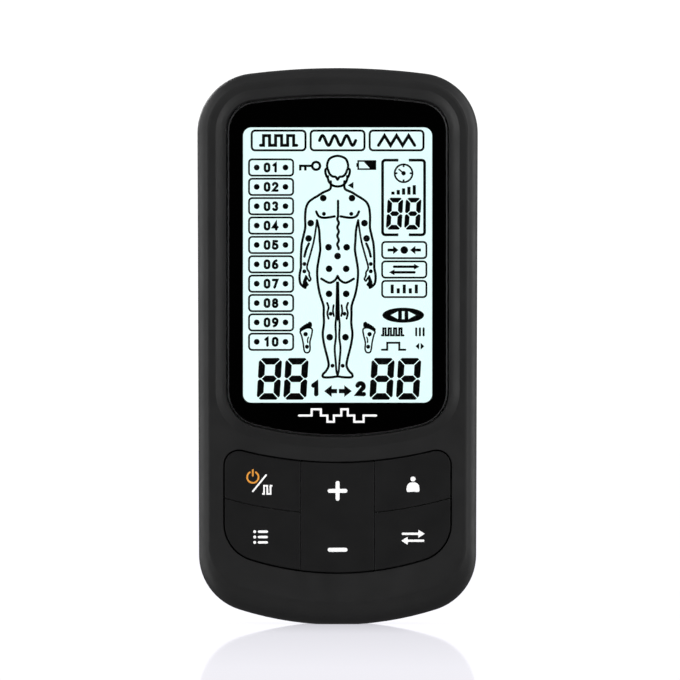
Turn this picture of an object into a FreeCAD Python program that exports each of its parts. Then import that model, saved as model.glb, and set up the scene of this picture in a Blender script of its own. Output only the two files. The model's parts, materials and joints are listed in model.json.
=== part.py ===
import FreeCAD, Part
import math
import os

# Handheld nerve and muscle stimulator, standing on its lower end.
# X is to the right, the display faces -Y, Z is up along the housing. Millimetres.

V = FreeCAD.Vector

# ---------------------------------------------------------------- driving sizes
HEIGHT = 120.0
DEPTH = 23.0
FRONT_Y = -DEPTH / 2
BACK_Y = DEPTH / 2
WALL = 2.0
FOOT_CUT = 0.15                 # how much the lower arc is planed off to stand on

# An outline is symmetric: an arc at each end, a straight side, a circle at each corner.
# A negative end radius is an end that curves inward.
BODY = dict(half_top=30.26, top=HEIGHT, top_radius=150.0, top_corner=12.9,
            half_bottom=29.91, bottom=-FOOT_CUT, bottom_radius=70.0, bottom_corner=12.4)
FACE = dict(half_top=28.12, top=HEIGHT - 2.0, top_radius=148.0, top_corner=10.7,
            half_bottom=27.76, bottom=4.35, bottom_radius=66.0, bottom_corner=9.9)
WINDOW = dict(half_top=23.9, top=114.0, top_radius=140.0, top_corner=6.5,
              half_bottom=23.9, bottom=40.42, bottom_radius=72.0, bottom_corner=7.8)
KEYPAD = dict(half_top=24.3, top=34.75, top_radius=-85.0, top_corner=3.0,
              half_bottom=24.3, bottom=11.21, bottom_radius=62.0, bottom_corner=8.0)

# Front shell, from the front backwards
BEZEL_RISE = 0.5
FACE_Y = FRONT_Y + BEZEL_RISE
FRONT_INNER_Y = FACE_Y + WALL
EASE_WIDTH = 0.5                # band along the face's edge that starts to fall away
EASE_DROP = 0.07
FLANK_DEPTH = 3.5               # from the face back to the full outline
FLANK_START = 25.0              # degrees, angle of the flank where it leaves the face
BEZEL_LAND = 0.45               # flat rim round the window
BEZEL_SLOPE = 1.95              # width of the slope outside that rim
BEZEL_TURN = math.pi * 0.8      # how much of a half cosine wave the slope follows
RIM_CHAMFER = 0.22
SEAM_Y = -3.5                   # where the two shells meet
SEAM_CHAMFER = 0.2
ROOT = 0.3                      # how far a post or wall runs into the wall it stands on

# Display
WINDOW_FRONT_Y = FRONT_Y + 0.3
WINDOW_THICK = 1.0
WINDOW_INSET = 0.3              # open groove round the window, besides the fit
WINDOW_BEVEL = 0.22
WINDOW_BEVEL_DROP = 0.1
TAPE_THICK = 0.2
LEDGE_Y = WINDOW_FRONT_Y + WINDOW_THICK + TAPE_THICK
LEDGE_WIDTH = 1.5
FIT = 0.12                      # assembly gap round pieces that are set in
VIEW = dict(half=20.38, low=47.8, high=107.12, corner=1.8)
LCD = dict(half=21.4, low=46.2, high=108.3)
LCD_FRONT_Y = FRONT_INNER_Y + 0.1
LCD_THICK = 2.0
BACKLIGHT_THICK = 2.0
HOLDER_WALL = 1.1
ZEBRA_HEIGHT = 1.5

# Circuit board
PCB_FRONT_Y = -4.6
PCB_BACK_Y = -3.0
PCB_GAP = 0.6

# Keys
KEY_FRONT_Y = FACE_Y - 0.3
KEY_GAP = 0.35                  # between the keys and the shell
KEY_SEAM = 0.08                 # between one key and the next
KEY_EDGE = 0.12
KEY_TRAVEL = 0.8
DIVIDER_X = 7.95
SEAM_RADIUS = 88.0
SEAM_CENTRE_Z = 23.8 + SEAM_RADIUS
FLANGE_WIDTH = 0.7
FLANGE_THICK = 0.7
FLANGE_CLEAR = 0.25
ROCKER_FLANGE_CLEAR = 0.8
ROCKER_PIVOT = V(0, -8.4, 22.9)
ROCKER_BOSS_RADIUS = 2.4
ROCKER_BOSS_HALF = 5.0
ROCKER_REACH = 6.5              # from the pivot to each rubber plunger
RUNNING_FIT = 0.06
PILL_THICK = 0.5
PLUNGER_RADIUS = 3.3
PILL_RADIUS = 2.3
PRESS_CLEAR = 0.05
ROCKER_PILL_CLEAR = 0.4
MAT_THICK = 1.0
MAT_GAP = 0.3
SADDLE_HALF = 2.4               # half the width of the ridge that the rocker sits in
SADDLE_RISE = 1.9               # how far that ridge stands off the board

# Cells and their bay
CELL_RADIUS = 5.2
CELL_LENGTH = 44.5
CELL_NUB = 1.2
CELL_NUB_RADIUS = 1.9
CELL_PITCH = 10.9
CELL_Y = 4.45
BAY_HALF = 16.5
BAY_LOW = 14.6
BAY_HIGH = 64.4
BAY_WALL = 1.2
BAY_FLOOR_Y = -1.2
CONTACT_THICK = 0.3
CONTACT_DIMPLE = 1.0
SPRING_WIRE = 0.3
SPRING_RADIUS = 2.7
SPRING_TURNS = 3
TAIL_HALF = 1.5                 # half the width of a contact's strip to the board
TAIL_CLEAR = 0.1

# Rear shell and battery door
REAR_ROUND = 6.5
DOOR_HALF = 18.5
DOOR_LOW = 11.5
DOOR_HIGH = 69.0
DOOR_THICK = 1.6
DOOR_GAP = 0.25
DOOR_SEAT_GAP = 0.15
DOOR_CORNER = 1.5
DOOR_HINGE_Y = BACK_Y - DOOR_THICK / 2
DOOR_HINGE_Z = DOOR_LOW + DOOR_THICK / 2
LATCH_HALF = 5.5
LATCH_REACH = 4.0               # from the door's edge to the tip of the tongue
LATCH_SLIT = 6.0                # slits that free the tongue, into the door
LATCH_HOOK = 0.9
LATCH_HOOK_LENGTH = 1.2
THUMB_DEEP = 0.5
THUMB_RIBS = 5
THUMB_PITCH = 1.4
HINGE_TAB_X = 10.0
HINGE_TAB_HALF = 2.5
HINGE_TAB_REACH = 1.5
HINGE_TAB_THICK = 0.8
HINGE_TAB_CLEAR = 0.4
HINGE_POCKET_BELOW = 1.1        # room below a tab for its swing
HINGE_POCKET_DEEP = 4.0

# Fasteners
CASE_SCREWS = [(20.5, 112.8), (17.0, 7.6)]
PCB_SCREWS = [(25.3, 41.0), (25.3, 101.0)]
POST_FRONT_RADIUS = 2.4
POST_REAR_RADIUS = 3.0
SCREW_SEAT_Y = 5.0
CASE_HEAD_RADIUS = 1.8
CASE_HEAD_THICK = 1.4
CASE_SHANK = 0.95
CASE_PILOT = 0.97
CASE_CLEARANCE = 1.2
CASE_TIP_Y = -8.2
PCB_BOSS_RADIUS = 1.9
PCB_HEAD_RADIUS = 1.5
PCB_HEAD_THICK = 1.1
PCB_SCREW_RADIUS = 0.7
PCB_PILOT = 0.72
PCB_TIP_Y = -7.6
TIP_SPARE = 0.3                 # how much deeper a pilot hole is than its screw
HEAD_CLEAR = 0.25

# Output sockets
SOCKET_X = 12.0
SOCKET_Y = 1.5
SOCKET_TOP = HEIGHT - 1.0
SOCKET_LENGTH = 15.0
SOCKET_RADIUS = 3.8
SOCKET_WELL_RADIUS = 3.25
SOCKET_WELL_DEPTH = 5.0
JACK_RADIUS = 1.25
JACK_DEPTH = 8.0
SOCKET_PIN_RADIUS = 0.35
SOCKET_FIT = 0.03
SOCKET_FOOT = 6.0

# Components on the back of the board
TRANSFORMER_X = 14.0
TRANSFORMER_Z = 87.0
TRANSFORMER_WIDTH = 13.0
TRANSFORMER_HEIGHT = 11.5
TRANSFORMER_THICK = 7.0
TRANSFORMER_LEG = 2.2
CAPACITORS = [(-4.0, 96.0), (4.0, 96.0), (-23.5, 80.0), (23.5, 80.0)]
CAPACITOR_RADIUS = 2.5
CAPACITOR_LENGTH = 9.0
CHIP_LEAD = 0.9
SMD_COUNT = 7
SMD_PITCH = 2.6
SMD_Z = 68.5
SMD_WIDTH = 1.2
SMD_HEIGHT = 2.0
SMD_THICK = 0.6
BUZZER_Z = 106.0
BUZZER_RADIUS = 5.5
BUZZER_LENGTH = 5.0


# ---------------------------------------------------------------- outlines and solids
def offset(outline, margin):
    """The same outline moved outward by margin all round."""
    grown = {key: value + margin for key, value in outline.items()}
    grown["bottom"] = outline["bottom"] - margin
    return grown


def blend(first, second, share):
    """An outline part of the way from first to second."""
    return {key: first[key] + share * (second[key] - first[key]) for key in first}


def corner_circle(half, end, end_radius, corner, up):
    """Centre of a corner circle, and its outward direction where it meets the end arc."""
    end_centre = V(0, 0, end - up * end_radius)
    centre_x = half - corner
    outward = math.copysign(1.0, end_radius)
    reach = math.sqrt((end_radius - corner) ** 2 - centre_x ** 2)
    centre = V(centre_x, 0, end_centre.z + up * outward * reach)
    direction = (centre - end_centre).normalize() * outward
    return centre, direction


def outline_wire(outline, y):
    """The closed outline in the plane Y = y, from three-point arcs and two side lines."""
    top_corner = outline["top_corner"]
    low_corner = outline["bottom_corner"]
    top, top_end = corner_circle(outline["half_top"], outline["top"],
                                 outline["top_radius"], top_corner, 1)
    low, low_end = corner_circle(outline["half_bottom"], outline["bottom"],
                                 outline["bottom_radius"], low_corner, -1)
    span = top - low
    tilt = math.atan2(span.z, span.x) - math.acos((low_corner - top_corner) / span.Length)
    side = V(math.cos(tilt), 0, math.sin(tilt))
    top_mid = (top_end + side).normalize()
    low_mid = (low_end + side).normalize()
    right = [top + top_end * top_corner, top + top_mid * top_corner, top + side * top_corner,
             low + side * low_corner, low + low_mid * low_corner, low + low_end * low_corner]
    right = [V(point.x, y, point.z) for point in right]
    left = [V(-point.x, y, point.z) for point in right]
    crown = V(0, y, outline["top"])
    base = V(0, y, outline["bottom"])
    edges = [Part.Arc(left[0], crown, right[0]), Part.Arc(right[0], right[1], right[2]),
             Part.LineSegment(right[2], right[3]), Part.Arc(right[3], right[4], right[5]),
             Part.Arc(right[5], base, left[5]), Part.Arc(left[5], left[4], left[3]),
             Part.LineSegment(left[3], left[2]), Part.Arc(left[2], left[1], left[0])]
    return Part.Wire([edge.toShape() for edge in edges])


def prism(outline, y0, y1):
    """The outline drawn out from y0 to y1."""
    return Part.Face(outline_wire(outline, y0)).extrude(V(0, y1 - y0, 0))


def loft(sections, ruled=False):
    """A solid through (outline, y) sections, listed from front to back."""
    return Part.makeLoft([outline_wire(outline, y) for outline, y in sections], True, ruled)


def block(x0, x1, y0, y1, z0, z1):
    """A box from its two corners."""
    return Part.makeBox(x1 - x0, y1 - y0, z1 - z0, V(x0, y0, z0))


def plate(x0, x1, y0, y1, z0, z1, corner):
    """A box whose four edges along Y are rounded."""
    box = block(x0, x1, y0, y1, z0, z1)
    edges = [edge for edge in box.Edges if abs(edge.tangentAt(edge.FirstParameter).y) > 0.9]
    return box.makeFillet(corner, edges)


def rod_y(radius, x, z, y0, y1):
    """A round bar along Y."""
    return Part.makeCylinder(radius, y1 - y0, V(x, y0, z), V(0, 1, 0))


def rod_x(radius, x0, x1, y, z):
    """A round bar along X."""
    return Part.makeCylinder(radius, x1 - x0, V(x0, y, z), V(1, 0, 0))


def rod_z(radius, x, y, z0, z1):
    """A round bar along Z."""
    return Part.makeCylinder(radius, z1 - z0, V(x, y, z0), V(0, 0, 1))


def mirrored(points):
    """Each (x, z) place on the right and its mirror on the left."""
    return [(side * x, z) for x, z in points for side in (-1, 1)]


# ---------------------------------------------------------------- shells
def front_outer():
    """Face with its eased edge, curved flank and straight side, down to the seam."""
    ease = []
    steps = 3
    for step in range(steps + 1):
        share = step / steps
        ease.append((offset(FACE, EASE_WIDTH * (share - 1)), FACE_Y + EASE_DROP * share ** 2))
    start = math.radians(FLANK_START)
    flank_y = FACE_Y + EASE_DROP
    sections = []
    steps = 5
    for step in range(steps + 1):
        angle = start + (math.pi / 2 - start) * step / steps
        spread = (math.sin(angle) - math.sin(start)) / (1 - math.sin(start))
        fall = (math.cos(start) - math.cos(angle)) / math.cos(start)
        sections.append((blend(FACE, BODY, spread), flank_y + (FLANK_DEPTH - EASE_DROP) * fall))
    side = prism(BODY, FACE_Y + FLANK_DEPTH, SEAM_Y - SEAM_CHAMFER)
    edge = loft([(BODY, SEAM_Y - SEAM_CHAMFER), (offset(BODY, -SEAM_CHAMFER), SEAM_Y)], True)
    return loft(ease).fuse([loft(sections), side, edge])


def bezel():
    """Soft raised rim round the window, a rounded slope up to a narrow flat land."""
    base = offset(WINDOW, BEZEL_LAND + BEZEL_SLOPE)
    rim = offset(WINDOW, BEZEL_LAND)
    sections = []
    steps = 3
    for step in range(steps + 1):
        share = step / steps
        fall = BEZEL_RISE * (1 - math.cos(BEZEL_TURN * share)) / (1 - math.cos(BEZEL_TURN))
        sections.append((blend(rim, base, share), FRONT_Y + fall))
    root = prism(base, FACE_Y, FACE_Y + WALL / 2)
    return loft(sections).fuse(root)


def front_shell():
    """Front half of the housing with the window and keypad openings, posts and bosses."""
    shell = front_outer().fuse(bezel())
    shell = shell.cut(prism(offset(BODY, -WALL), FRONT_INNER_Y, SEAM_Y + 1))
    chamfer = loft([(offset(WINDOW, FIT + RIM_CHAMFER), FRONT_Y - 0.01),
                    (offset(WINDOW, FIT), FRONT_Y + RIM_CHAMFER)], True)
    shell = shell.cut(chamfer)
    shell = shell.cut(prism(offset(WINDOW, FIT), FRONT_Y, LEDGE_Y))
    shell = shell.cut(prism(offset(WINDOW, -LEDGE_WIDTH), FRONT_Y, FRONT_INNER_Y + 1))
    shell = shell.cut(prism(offset(KEYPAD, KEY_GAP), FRONT_Y - 1, FRONT_INNER_Y + 1))
    for x, z in mirrored(CASE_SCREWS):
        post = rod_y(POST_FRONT_RADIUS, x, z, FRONT_INNER_Y - ROOT, SEAM_Y)
        shell = shell.fuse(post).cut(rod_y(CASE_PILOT, x, z, CASE_TIP_Y - TIP_SPARE, SEAM_Y))
    for x, z in mirrored(PCB_SCREWS):
        boss = rod_y(PCB_BOSS_RADIUS, x, z, FRONT_INNER_Y - ROOT, PCB_FRONT_Y)
        shell = shell.fuse(boss).cut(rod_y(PCB_PILOT, x, z, PCB_TIP_Y - TIP_SPARE, PCB_FRONT_Y))
    return above_ground(shell)


def round_backed(outline, y0, y1, radius):
    """The outline drawn out from y0 to y1, its rear edge rounded."""
    solid = prism(outline, y0, y1)
    rim = [edge for edge in solid.Edges
           if abs(edge.BoundBox.YMin - y1) < 1e-4 and abs(edge.BoundBox.YMax - y1) < 1e-4]
    return solid.makeFillet(radius, rim)


def rear_shell():
    """Rear half of the housing with the battery bay, door opening, posts and socket holes."""
    edge = loft([(offset(BODY, -SEAM_CHAMFER), SEAM_Y), (BODY, SEAM_Y + SEAM_CHAMFER)], True)
    shell = edge.fuse(round_backed(BODY, SEAM_Y + SEAM_CHAMFER, BACK_Y, REAR_ROUND))
    hollow = round_backed(offset(BODY, -WALL), SEAM_Y - 1, BACK_Y - WALL, REAR_ROUND - WALL)
    shell = shell.cut(hollow)
    shell = shell.fuse(bay_walls())
    shell = shell.cut(block(-BAY_HALF, BAY_HALF, BAY_FLOOR_Y, BACK_Y + 1, BAY_LOW, BAY_HIGH))
    shell = door_opening(shell)
    for x, z in mirrored(CASE_SCREWS):
        shell = shell.fuse(rod_y(POST_REAR_RADIUS, x, z, SEAM_Y, BACK_Y - WALL + ROOT))
        shell = shell.cut(rod_y(CASE_CLEARANCE, x, z, SEAM_Y, SCREW_SEAT_Y))
        shell = shell.cut(rod_y(CASE_HEAD_RADIUS + HEAD_CLEAR, x, z, SCREW_SEAT_Y, BACK_Y + 1))
    for side_x in (-SOCKET_X, SOCKET_X):
        shell = shell.cut(rod_z(SOCKET_RADIUS + SOCKET_FIT, side_x, SOCKET_Y, HEIGHT - 8, HEIGHT + 1))
    for x, low, high in ((-CELL_PITCH, BAY_HIGH - CONTACT_THICK, BAY_HIGH),
                         (CELL_PITCH, BAY_LOW, BAY_LOW + CONTACT_THICK)):
        reach = TAIL_HALF + TAIL_CLEAR
        slot = block(x - reach, x + reach, PCB_BACK_Y, BAY_FLOOR_Y,
                     low - TAIL_CLEAR, high + TAIL_CLEAR)
        shell = shell.cut(slot)
    return above_ground(shell)


def bay_walls():
    """Solid block of the battery bay, floor and walls, joined to the back of the shell."""
    return block(-BAY_HALF - BAY_WALL, BAY_HALF + BAY_WALL, BAY_FLOOR_Y - BAY_WALL,
                 BACK_Y - WALL + ROOT, BAY_LOW - BAY_WALL, BAY_HIGH + BAY_WALL)


def door_opening(shell):
    """Cuts the door's place, its ledge, the two hinge pockets and the latch notch."""
    gap = DOOR_GAP
    seat_y = BACK_Y - DOOR_THICK - DOOR_SEAT_GAP
    lip_y = DOOR_HINGE_Y - HINGE_TAB_THICK / 2 + gap
    pocket_y = BACK_Y - WALL - HINGE_POCKET_DEEP
    shell = shell.cut(plate(-DOOR_HALF - gap, DOOR_HALF + gap, seat_y, BACK_Y + 1,
                            DOOR_LOW - gap, DOOR_HIGH + gap, DOOR_CORNER))
    shell = shell.cut(block(-DOOR_HALF - gap, DOOR_HALF + gap, seat_y, BACK_Y + 1,
                            DOOR_LOW - gap, DOOR_LOW + 2 * DOOR_CORNER))
    latch_top = DOOR_HIGH + LATCH_REACH
    shell = shell.cut(block(-LATCH_HALF - gap, LATCH_HALF + gap, seat_y - 0.1, BACK_Y + 1,
                            DOOR_HIGH - 1, latch_top + gap))
    shell = shell.cut(block(-LATCH_HALF, LATCH_HALF, seat_y - 3, BACK_Y + 1,
                            latch_top - LATCH_HOOK_LENGTH - 2 * gap, latch_top + gap))
    for x in (-HINGE_TAB_X, HINGE_TAB_X):
        half = HINGE_TAB_HALF + HINGE_TAB_CLEAR
        pocket_low = DOOR_LOW - HINGE_TAB_REACH - HINGE_POCKET_BELOW
        shell = shell.cut(block(x - half, x + half, pocket_y, lip_y,
                                pocket_low, BAY_LOW - BAY_WALL))
        shell = shell.cut(block(x - half, x + half, pocket_y, BACK_Y + 1,
                                DOOR_LOW - gap, BAY_LOW - BAY_WALL / 2))
    return shell


def above_ground(shell):
    """Planes the lower end flat at Z = 0."""
    return shell.common(block(-50, 50, -20, 20, 0, HEIGHT + 5)).removeSplitter()


# ---------------------------------------------------------------- display
def display_window():
    """Clear window set into the bezel, its front edge slightly bevelled."""
    pane = offset(WINDOW, -WINDOW_INSET)
    bevel_y = WINDOW_FRONT_Y + WINDOW_BEVEL_DROP
    bevel = loft([(offset(pane, -WINDOW_BEVEL), WINDOW_FRONT_Y), (pane, bevel_y)], True)
    return bevel.fuse(prism(pane, bevel_y, WINDOW_FRONT_Y + WINDOW_THICK)).removeSplitter()


def window_tape():
    """Black mask behind the window, with the view opening."""
    front_y = WINDOW_FRONT_Y + WINDOW_THICK
    mask = prism(WINDOW, front_y, LEDGE_Y)
    opening = plate(-VIEW["half"], VIEW["half"], front_y - 1, LEDGE_Y + 1,
                    VIEW["low"], VIEW["high"], VIEW["corner"])
    return mask.cut(opening)


def lcd_box(y0, y1, margin=0.0, low=None):
    """A box as large as the display glass, grown by margin."""
    bottom = LCD["low"] if low is None else low
    return block(-LCD["half"] - margin, LCD["half"] + margin, y0, y1,
                 bottom - margin, LCD["high"] + margin)


def lcd_panel():
    """Two glass sheets, the front one shorter at the contact edge."""
    middle_y = LCD_FRONT_Y + LCD_THICK / 2
    front = lcd_box(LCD_FRONT_Y, middle_y)
    rear = lcd_box(middle_y, LCD_FRONT_Y + LCD_THICK)
    return front.fuse(rear).removeSplitter()


def lcd_backlight():
    """Light guide behind the glass, above the contact strip."""
    front_y = LCD_FRONT_Y + LCD_THICK
    return lcd_box(front_y, front_y + BACKLIGHT_THICK, 0.0, LCD["low"] + ZEBRA_HEIGHT + 0.3)


def zebra_strip():
    """Rubber contact strip between the glass and the board."""
    front_y = LCD_FRONT_Y + LCD_THICK
    low = LCD["low"]
    return block(-LCD["half"] + 1, LCD["half"] - 1, front_y, PCB_FRONT_Y, low, low + ZEBRA_HEIGHT)


def lcd_holder():
    """Frame that holds glass, light guide and strip on the board."""
    frame = lcd_box(LCD_FRONT_Y, PCB_FRONT_Y, HOLDER_WALL)
    frame = frame.cut(lcd_box(LCD_FRONT_Y - 1, PCB_FRONT_Y + 1, 0.08))
    return frame


# ---------------------------------------------------------------- circuit board
def main_pcb():
    """Board that fills the front shell, with holes for posts and screws."""
    board = prism(offset(BODY, -WALL - PCB_GAP), PCB_FRONT_Y, PCB_BACK_Y)
    for x, z in mirrored(CASE_SCREWS):
        board = board.cut(rod_y(POST_REAR_RADIUS + 0.3, x, z, PCB_FRONT_Y - 1, PCB_BACK_Y + 1))
    for x, z in mirrored(PCB_SCREWS):
        board = board.cut(rod_y(PCB_SCREW_RADIUS + 0.1, x, z, PCB_FRONT_Y - 1, PCB_BACK_Y + 1))
    return board


def on_board(width, height, thick, x, z):
    """A rectangular component on the back of the board."""
    return block(x - width / 2, x + width / 2, PCB_BACK_Y, PCB_BACK_Y + thick,
                 z - height / 2, z + height / 2)


def transformer_core(x):
    """Ferrite core: two side legs, top and bottom yokes and a centre leg."""
    outer = on_board(TRANSFORMER_WIDTH, TRANSFORMER_HEIGHT, TRANSFORMER_THICK, x, TRANSFORMER_Z)
    half = TRANSFORMER_WIDTH / 2
    leg = TRANSFORMER_LEG
    for side in (-1, 1):
        inner_x = x + side * (leg * 0.75)
        outer_x = x + side * (half - leg)
        gap = block(min(inner_x, outer_x), max(inner_x, outer_x), PCB_BACK_Y - 1,
                    PCB_BACK_Y + TRANSFORMER_THICK + 1,
                    TRANSFORMER_Z - TRANSFORMER_HEIGHT / 2 + leg,
                    TRANSFORMER_Z + TRANSFORMER_HEIGHT / 2 - leg)
        outer = outer.cut(gap)
    return outer


def transformer_winding(x):
    """Wound coil round the centre leg, inside the core's windows."""
    leg = TRANSFORMER_LEG
    coil_half = TRANSFORMER_WIDTH / 2 - leg - 0.1
    low = TRANSFORMER_Z - TRANSFORMER_HEIGHT / 2 + leg + 0.1
    high = TRANSFORMER_Z + TRANSFORMER_HEIGHT / 2 - leg - 0.1
    coil = block(x - coil_half, x + coil_half, PCB_BACK_Y + 0.3,
                 PCB_BACK_Y + TRANSFORMER_THICK + 1.2, low, high)
    core = block(x - leg * 0.75 - 0.05, x + leg * 0.75 + 0.05, PCB_BACK_Y - 1,
                 PCB_BACK_Y + TRANSFORMER_THICK + 0.05, low - 1, high + 1)
    return coil.cut(core)


def capacitors():
    """Upright electrolytic capacitors on the back of the board."""
    return [rod_y(CAPACITOR_RADIUS, x, z, PCB_BACK_Y, PCB_BACK_Y + CAPACITOR_LENGTH)
            for x, z in CAPACITORS]


def chip(width, height, thick, x, z, pins):
    """A moulded chip with a row of leads on each side."""
    body = on_board(width, height, thick, x, z)
    pitch = height / (pins + 1)
    for pin in range(pins):
        pin_z = z - height / 2 + pitch * (pin + 1)
        body = body.fuse(on_board(width + 2 * CHIP_LEAD, pitch / 2, CHIP_LEAD / 2, x, pin_z))
    return body


def smd_parts():
    """A row of small resistors and capacitors."""
    middle = (SMD_COUNT - 1) / 2
    return [on_board(SMD_WIDTH, SMD_HEIGHT, SMD_THICK, (column - middle) * SMD_PITCH, SMD_Z)
            for column in range(SMD_COUNT)]


# ---------------------------------------------------------------- fasteners
def screw(x, z, seat_y, tip_y, head_radius, head_thick, shank):
    """A cross-headed screw driven from behind, its head seated at seat_y."""
    body = rod_y(head_radius, x, z, seat_y, seat_y + head_thick)
    rim = [edge for edge in body.Edges if abs(edge.CenterOfMass.y - seat_y - head_thick) < 1e-6]
    body = body.makeFillet(head_thick * 0.35, rim)
    body = body.fuse(rod_y(shank, x, z, tip_y, seat_y))
    arm = head_radius * 0.65
    slot = head_radius * 0.14
    top_y = seat_y + head_thick
    deep_y = top_y - head_thick * 0.6
    body = body.cut(block(x - arm, x + arm, deep_y, top_y + 1, z - slot, z + slot))
    return body.cut(block(x - slot, x + slot, deep_y, top_y + 1, z - arm, z + arm))


def case_screws():
    """Four screws that close the housing."""
    return [screw(x, z, SCREW_SEAT_Y, CASE_TIP_Y, CASE_HEAD_RADIUS, CASE_HEAD_THICK, CASE_SHANK)
            for x, z in mirrored(CASE_SCREWS)]


def pcb_screws():
    """Four screws that hold the board in the front shell."""
    return [screw(x, z, PCB_BACK_Y, PCB_TIP_Y, PCB_HEAD_RADIUS, PCB_HEAD_THICK, PCB_SCREW_RADIUS)
            for x, z in mirrored(PCB_SCREWS)]


# ---------------------------------------------------------------- keys
def key_cap(region, flange_region, flange_y):
    """A key: its cap with a rounded front edge, and the flange behind the shell."""
    cap = prism(KEYPAD, KEY_FRONT_Y, flange_y).common(region)
    rim = [edge for edge in cap.Edges
           if abs(edge.BoundBox.YMin - KEY_FRONT_Y) < 1e-4
           and abs(edge.BoundBox.YMax - KEY_FRONT_Y) < 1e-4]
    cap = cap.makeFillet(KEY_EDGE, rim)
    flange = prism(offset(KEYPAD, FLANGE_WIDTH), flange_y, flange_y + FLANGE_THICK)
    return cap.fuse(flange.common(flange_region)).removeSplitter()


def corner_region(side, upper):
    """Everything on one side of the rocker, above or below the curved seam."""
    gap = KEY_SEAM / 2
    near = DIVIDER_X + gap
    span = block(min(side * near, side * 40), max(side * near, side * 40), -20, 20, 0, 60)
    if upper:
        return span.common(rod_y(SEAM_RADIUS - gap, 0, SEAM_CENTRE_Z, -20, 20))
    return span.cut(rod_y(SEAM_RADIUS + gap, 0, SEAM_CENTRE_Z, -20, 20))


def corner_key(side, upper):
    """One of the four corner keys."""
    region = corner_region(side, upper)
    return key_cap(region, region, FRONT_INNER_Y + FLANGE_CLEAR)


def level_rocker():
    """The long plus and minus key, with the half-round boss that it rocks on."""
    half = DIVIDER_X - KEY_SEAM / 2
    region = block(-half, half, -20, 20, 0, 60)
    rocker = key_cap(region, region, FRONT_INNER_Y + ROCKER_FLANGE_CLEAR)
    boss = rod_x(ROCKER_BOSS_RADIUS, -ROCKER_BOSS_HALF, ROCKER_BOSS_HALF,
                 ROCKER_PIVOT.y, ROCKER_PIVOT.z)
    behind = block(-half, half, ROCKER_PIVOT.y, 0, 0, 60)
    return rocker.fuse(boss.common(behind)).removeSplitter()


def press_points():
    """Name, place, back of the cap and pill clearance for each rubber plunger."""
    cap_y = FRONT_INNER_Y + FLANGE_CLEAR + FLANGE_THICK
    rocker_y = FRONT_INNER_Y + ROCKER_FLANGE_CLEAR + FLANGE_THICK
    slide = KEY_TRAVEL + PRESS_CLEAR
    points = [("power_mode", -16.0, 30.6, cap_y, slide), ("body", 16.0, 30.6, cap_y, slide),
              ("program", -16.0, 18.8, cap_y, slide), ("channel", 16.0, 18.8, cap_y, slide)]
    for name, reach in (("level_up", ROCKER_REACH), ("level_down", -ROCKER_REACH)):
        points.append((name, 0.0, ROCKER_PIVOT.z + reach, rocker_y, ROCKER_PILL_CLEAR))
    return points


def keypad_mat():
    """Rubber sheet on the board, open round each plunger, with a saddle for the rocker."""
    back_y = PCB_FRONT_Y
    outline = offset(KEYPAD, 0.4)
    mat = prism(outline, back_y - MAT_THICK, back_y)
    for name, x, z, cap_y, clear in press_points():
        mat = mat.cut(rod_y(PLUNGER_RADIUS + MAT_GAP, x, z, back_y - MAT_THICK - 1, back_y + 1))
    saddle_half = ROCKER_BOSS_HALF + 1
    saddle = block(-saddle_half, saddle_half, back_y - SADDLE_RISE, back_y,
                   ROCKER_PIVOT.z - SADDLE_HALF, ROCKER_PIVOT.z + SADDLE_HALF)
    groove = rod_x(ROCKER_BOSS_RADIUS + RUNNING_FIT, -saddle_half - 1, saddle_half + 1,
                   ROCKER_PIVOT.y, ROCKER_PIVOT.z)
    return mat.fuse(saddle).cut(groove).removeSplitter()


# ---------------------------------------------------------------- cells and contacts
def cell_x(number):
    """Centre of cell 0, 1 or 2, from left to right."""
    return (number - 1) * CELL_PITCH


def cell(number):
    """A round cell. The middle one stands with its positive end down."""
    x = cell_x(number)
    length = CELL_LENGTH - CELL_NUB
    nub_up = number != 1
    can = rod_z(CELL_RADIUS, x, CELL_Y, 0, length)
    can = can.makeFillet(0.5, [edge for edge in can.Edges if edge.Closed])
    nub = rod_z(CELL_NUB_RADIUS, x, CELL_Y, length, CELL_LENGTH)
    shape = can.fuse(nub)
    if not nub_up:
        shape = shape.mirror(V(x, CELL_Y, CELL_LENGTH / 2), V(0, 0, 1))
    nub_gap = CONTACT_THICK + CONTACT_DIMPLE
    low = BAY_HIGH - nub_gap - CELL_LENGTH if nub_up else BAY_LOW + nub_gap
    shape.translate(V(0, 0, low))
    return shape


def contact_plate(first, last, at_top):
    """A thin plate against one end of the bay, under cells first to last."""
    half = CELL_RADIUS - 1.2
    low = BAY_HIGH - CONTACT_THICK if at_top else BAY_LOW
    return block(cell_x(first) - half, cell_x(last) + half, CELL_Y - half, CELL_Y + half,
                 low, low + CONTACT_THICK)


def dimple(number, at_top):
    """The raised round pad that meets a cell's positive end."""
    x = cell_x(number)
    radius = CELL_NUB_RADIUS * 0.8
    if at_top:
        high = BAY_HIGH - CONTACT_THICK
        return Part.makeCone(radius, radius + 0.8, CONTACT_DIMPLE, V(x, CELL_Y, high - CONTACT_DIMPLE))
    low = BAY_LOW + CONTACT_THICK
    return Part.makeCone(radius + 0.8, radius, CONTACT_DIMPLE, V(x, CELL_Y, low))


def tail(number, at_top):
    """The strip from a contact plate through the bay floor to the board."""
    low = BAY_HIGH - CONTACT_THICK if at_top else BAY_LOW
    x = cell_x(number)
    return block(x - TAIL_HALF, x + TAIL_HALF, PCB_BACK_Y, CELL_Y, low, low + CONTACT_THICK)


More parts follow.
